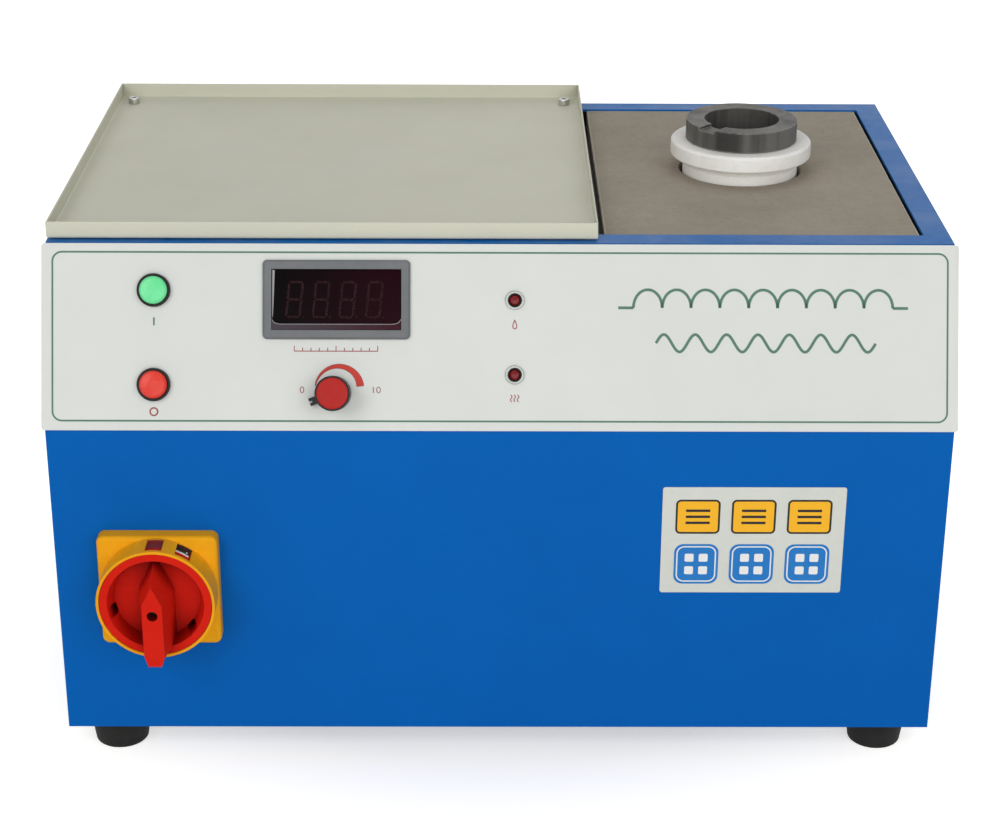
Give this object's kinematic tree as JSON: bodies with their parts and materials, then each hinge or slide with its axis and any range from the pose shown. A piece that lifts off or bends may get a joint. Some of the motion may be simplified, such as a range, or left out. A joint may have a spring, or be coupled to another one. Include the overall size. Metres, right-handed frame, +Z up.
{
  "type": "electric gold melting furnace",
  "caption": "Bench-top induction melting furnace: steel cabinet with sloping control panel, tool tray, and a graphite crucible in a ceramic jacket standing in a water-cooled coil.",
  "frame": {"origin": "on the floor under the middle of the object's box, which is the middle of the cabinet", "axes": "+X to the right seen from the front, +Z up, and the front faces -Y"},
  "size_m": [0.4838, 0.385, 0.321],
  "materials": {
    "blue_paint": "semi-gloss blue powder coat",
    "white_paint": "satin off-white powder coat",
    "ivory_paint": "satin ivory powder coat",
    "board": "heat-resistant mineral board",
    "ceramic": "white fired ceramic",
    "refractory": "cast refractory",
    "graphite": "machined graphite",
    "copper": "drawn copper",
    "brass": "turned brass",
    "steel": "zinc-plated steel",
    "stainless": "nickel-plated steel",
    "aluminium": "milled aluminium",
    "rubber": "black moulded rubber",
    "black_plastic": "black moulded plastic",
    "grey_plastic": "grey moulded plastic",
    "yellow_plastic": "yellow moulded plastic",
    "red_plastic": "red moulded plastic",
    "green_lens": "green translucent plastic",
    "red_lens": "red translucent plastic",
    "lamp_lens": "dark red translucent plastic",
    "smoked_window": "smoked dark red plastic",
    "ferrite": "sintered ferrite",
    "capacitor_blue": "blue capacitor case",
    "circuit_green": "green circuit board",
    "hose": "grey silicone hose",
    "white_plate": "white printed plate"
  },
  "bodies": {
    "cabinet": {"side_panel_left": "blue_paint", "side_panel_right": "blue_paint", "front_panel": "blue_paint", "base_pan": "blue_paint", "top_panel": "blue_paint", "rear_panel": "blue_paint", "control_panel": "white_paint", "rubber_feet": "rubber", "foot_screws": "steel", "rear_screws": "steel", "board_ledge": "blue_paint", "insulation_board": "board", "tool_tray": "ivory_paint", "tray_screws": "stainless", "induction_coil": "copper", "coil_liner": "refractory", "coil_seat": "refractory", "coil_table": "grey_plastic", "coil_posts": "steel", "inner_shelf": "steel", "transformer_core": "ferrite", "transformer_winding": "copper", "busbars": "copper", "tank_capacitors": "capacitor_blue", "heat_sink": "aluminium", "power_modules": "black_plastic", "filter_capacitors": "capacitor_blue", "control_transformer": "steel", "contactor": "grey_plastic", "board_standoffs": "brass", "control_board": "circuit_green", "fan_frame": "black_plastic", "fan_guard": "steel", "water_nipples": "brass", "fitting_nuts": "brass", "cable_gland": "black_plastic", "earth_stud": "brass", "flow_switch": "brass", "water_hoses": "hose", "isolator_plate": "yellow_plastic", "isolator_body": "grey_plastic", "button_housings": "black_plastic", "meter_case": "grey_plastic", "meter_window": "smoked_window", "potentiometer": "aluminium", "lamp_bezels": "aluminium", "lamp_lenses": "lamp_lens", "label_plate": "white_plate"},
    "isolator_rotor": {"isolator_handle": "red_plastic", "isolator_shaft": "steel", "isolator_screw": "steel"},
    "power_knob": {"knob_body": "black_plastic", "knob_cap": "red_plastic", "pot_shaft": "steel"},
    "start_button": {"start_button_cap": "green_lens"},
    "stop_button": {"stop_button_cap": "red_lens"},
    "fan": {"fan_rotor": "black_plastic"},
    "jacket": {"ceramic_sleeve": "ceramic", "ceramic_flange": "ceramic"},
    "crucible": {"graphite_crucible": "graphite"}
  },
  "joints": [
    {"name": "isolator_turn", "type": "hinge", "parent": "cabinet", "child": "isolator_rotor", "pos_m": [-0.18365, -0.175, 0.11], "axis": [0, 1, 0], "range_deg": [0, 90]},
    {"name": "power_turn", "type": "hinge", "parent": "cabinet", "child": "power_knob", "pos_m": [-0.0877, -0.15475, 0.22235], "axis": [0, 0.9228, -0.3853], "range_deg": [-24, 246]},
    {"name": "start_press", "type": "slide", "parent": "cabinet", "child": "start_button", "axis": [0, 0.9228, -0.3853], "range_m": [0, 0.003], "stiffness_N_per_m": 600, "springref_m": -0.002},
    {"name": "stop_press", "type": "slide", "parent": "cabinet", "child": "stop_button", "axis": [0, 0.9228, -0.3853], "range_m": [0, 0.003], "stiffness_N_per_m": 600, "springref_m": -0.002},
    {"name": "fan_spin", "type": "hinge", "parent": "cabinet", "child": "fan", "pos_m": [-0.11, 0.1415, 0.205], "axis": [0, 1, 0], "continuous": true},
    {"name": "jacket_lift", "type": "slide", "parent": "cabinet", "child": "jacket", "axis": [0, 0, 1], "range_m": [0, 0.13]},
    {"name": "crucible_lift", "type": "slide", "parent": "jacket", "child": "crucible", "axis": [0, 0, 1], "range_m": [0, 0.12]}
  ]
}
